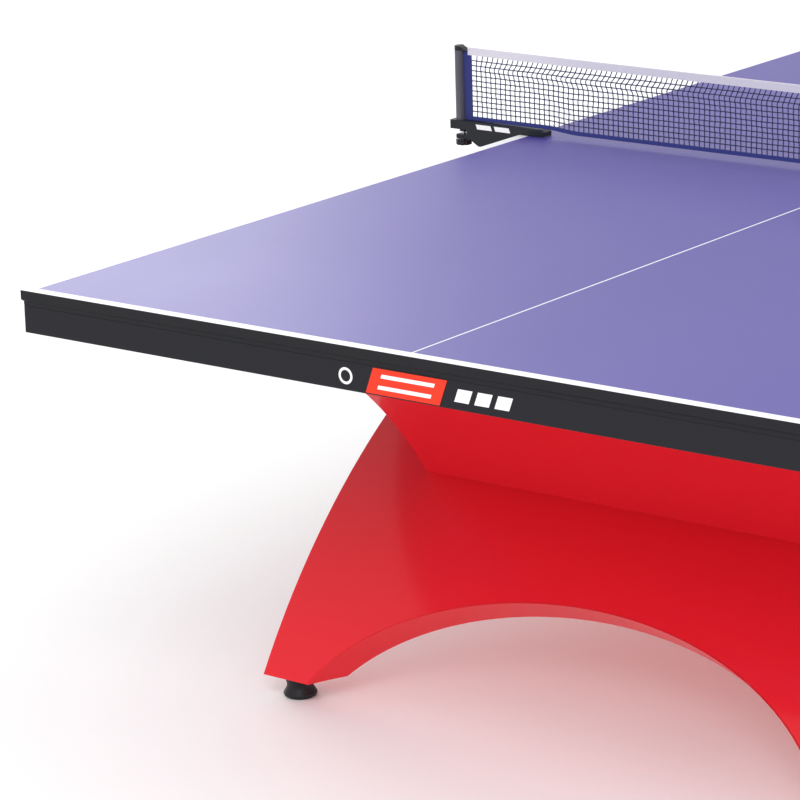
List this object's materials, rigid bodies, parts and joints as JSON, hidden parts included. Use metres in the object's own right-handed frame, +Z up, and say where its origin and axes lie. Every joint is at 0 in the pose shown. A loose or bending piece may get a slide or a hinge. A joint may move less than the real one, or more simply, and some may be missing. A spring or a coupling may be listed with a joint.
{
  "type": "table tennis table",
  "caption": "Full-size table tennis table: two bolted half tops with white lines on an arched red base with flared wings, levelling feet, and a clamped net with posts.",
  "frame": {"origin": "on the floor under the middle of the table", "axes": "+Z up, +Y along the table's length, +X across it, with the net standing in the X-Z plane"},
  "size_m": [1.842, 2.74, 0.9145],
  "materials": {
    "playing_surface": "satin blue-violet lacquer on board",
    "badge_vinyl": "plain orange-red vinyl",
    "edge_strip": "black moulded edge strip",
    "line_paint": "matt white line paint",
    "frame_steel": "black powder coat",
    "base_lacquer": "glossy red lacquer on sheet steel",
    "raw_steel": "plain steel",
    "zinc_fasteners": "bright zinc plating",
    "foot_plastic": "moulded black plastic",
    "foot_rubber": "black rubber",
    "clamp_steel": "black powder coat",
    "post_steel": "dark grey satin paint",
    "clamp_plastic": "moulded black plastic",
    "felt": "thin dark felt",
    "net_tape": "white cotton tape",
    "net_band": "blue woven webbing",
    "net_cord": "dark navy knotted cord"
  },
  "bodies": {
    "root": {"near_board": "playing_surface", "near_lipping": "edge_strip", "far_board": "playing_surface", "far_lipping": "edge_strip", "court_lines": "line_paint", "end_badges": "badge_vinyl", "end_marks": "line_paint", "clamp_marks": "line_paint", "near_end_rail": "frame_steel", "near_right_rail": "frame_steel", "near_net_rail": "frame_steel", "near_left_rail": "frame_steel", "far_end_rail": "frame_steel", "far_right_rail": "frame_steel", "far_net_rail": "frame_steel", "far_left_rail": "frame_steel", "frame_bearers": "frame_steel", "board_screws": "zinc_fasteners", "joining_plates": "zinc_fasteners", "frame_bolts": "zinc_fasteners", "arch_outer_skin": "base_lacquer", "arch_inner_skin": "base_lacquer", "arch_left_side": "base_lacquer", "arch_right_side": "base_lacquer", "near_opening_liner": "base_lacquer", "far_opening_liner": "base_lacquer", "arch_ribs": "raw_steel", "leg_plates": "base_lacquer", "foot_bushes": "raw_steel", "near_wing": "base_lacquer", "far_wing": "base_lacquer", "left_side_panel": "base_lacquer", "right_side_panel": "base_lacquer", "saddle_beams": "frame_steel", "saddle_crosses": "frame_steel", "left_clamp": "clamp_steel", "left_post": "post_steel", "right_clamp": "clamp_steel", "right_post": "post_steel", "post_caps": "clamp_plastic", "jaw_pins": "zinc_fasteners", "clamp_felts": "felt", "net_tape": "net_tape", "net_band": "net_band", "net_mesh": "net_cord", "net_sleeves": "net_band"},
    "near_left_sole": {"near_left_sole": "foot_rubber"},
    "near_left_foot": {"near_left_foot": "foot_plastic"},
    "near_right_sole": {"near_right_sole": "foot_rubber"},
    "near_right_foot": {"near_right_foot": "foot_plastic"},
    "far_left_sole": {"far_left_sole": "foot_rubber"},
    "far_left_foot": {"far_left_foot": "foot_plastic"},
    "far_right_sole": {"far_right_sole": "foot_rubber"},
    "far_right_foot": {"far_right_foot": "foot_plastic"},
    "left_jaw": {"left_jaw": "clamp_steel"},
    "left_shoe": {"left_shoe": "zinc_fasteners"},
    "left_screw": {"left_clamp_screw": "zinc_fasteners", "left_knob": "clamp_plastic"},
    "right_jaw": {"right_jaw": "clamp_steel"},
    "right_shoe": {"right_shoe": "zinc_fasteners"},
    "right_screw": {"right_clamp_screw": "zinc_fasteners", "right_knob": "clamp_plastic"}
  },
  "joints": [
    {"name": "near_left_foot_travel", "type": "slide", "parent": "root", "child": "near_left_sole", "axis": [0, 0, -1], "range_m": [-0.0015, 0.0135]},
    {"name": "near_left_foot_turn", "type": "hinge", "parent": "near_left_sole", "child": "near_left_foot", "pos_m": [-0.543, -0.979, 0], "axis": [0, 0, 1], "range_deg": [-310, 2778]},
    {"name": "near_right_foot_travel", "type": "slide", "parent": "root", "child": "near_right_sole", "axis": [0, 0, -1], "range_m": [-0.0015, 0.0135]},
    {"name": "near_right_foot_turn", "type": "hinge", "parent": "near_right_sole", "child": "near_right_foot", "pos_m": [0.543, -0.979, 0], "axis": [0, 0, 1], "range_deg": [-310, 2778]},
    {"name": "far_left_foot_travel", "type": "slide", "parent": "root", "child": "far_left_sole", "axis": [0, 0, -1], "range_m": [-0.0015, 0.0135]},
    {"name": "far_left_foot_turn", "type": "hinge", "parent": "far_left_sole", "child": "far_left_foot", "pos_m": [-0.543, 0.979, 0], "axis": [0, 0, 1], "range_deg": [-310, 2778]},
    {"name": "far_right_foot_travel", "type": "slide", "parent": "root", "child": "far_right_sole", "axis": [0, 0, -1], "range_m": [-0.0015, 0.0135]},
    {"name": "far_right_foot_turn", "type": "hinge", "parent": "far_right_sole", "child": "far_right_foot", "pos_m": [0.543, 0.979, 0], "axis": [0, 0, 1], "range_deg": [-310, 2778]},
    {"name": "left_jaw_hinge", "type": "hinge", "parent": "root", "child": "left_jaw", "pos_m": [-0.8, 0, 0.742], "axis": [0, 1, 0], "range_deg": [0, 3.17]},
    {"name": "left_shoe_travel", "type": "slide", "parent": "left_jaw", "child": "left_shoe", "axis": [0, 0, -1], "range_m": [0, 0.0055]},
    {"name": "left_screw_turn", "type": "hinge", "parent": "left_shoe", "child": "left_screw", "pos_m": [-0.9, 0, 0.74], "axis": [0, 0, -1], "range_deg": [0, 991]},
    {"name": "right_jaw_hinge", "type": "hinge", "parent": "root", "child": "right_jaw", "pos_m": [0.8, 0, 0.742], "axis": [0, -1, 0], "range_deg": [0, 3.17]},
    {"name": "right_shoe_travel", "type": "slide", "parent": "right_jaw", "child": "right_shoe", "axis": [0, 0, -1], "range_m": [0, 0.0055]},
    {"name": "right_screw_turn", "type": "hinge", "parent": "right_shoe", "child": "right_screw", "pos_m": [0.9, 0, 0.74], "axis": [0, 0, -1], "range_deg": [0, 991]}
  ],
  "couplings": [
    {"joint": "near_left_foot_turn", "follows": "near_left_foot_travel", "rad_per_m": 3590.4},
    {"joint": "near_right_foot_turn", "follows": "near_right_foot_travel", "rad_per_m": 3590.4},
    {"joint": "far_left_foot_turn", "follows": "far_left_foot_travel", "rad_per_m": 3590.4},
    {"joint": "far_right_foot_turn", "follows": "far_right_foot_travel", "rad_per_m": 3590.4},
    {"joint": "left_jaw_hinge", "follows": "left_shoe_travel", "rad_per_m": 10},
    {"joint": "left_screw_turn", "follows": "left_shoe_travel", "rad_per_m": 3141.6},
    {"joint": "right_jaw_hinge", "follows": "right_shoe_travel", "rad_per_m": 10},
    {"joint": "right_screw_turn", "follows": "right_shoe_travel", "rad_per_m": 3141.6}
  ]
}
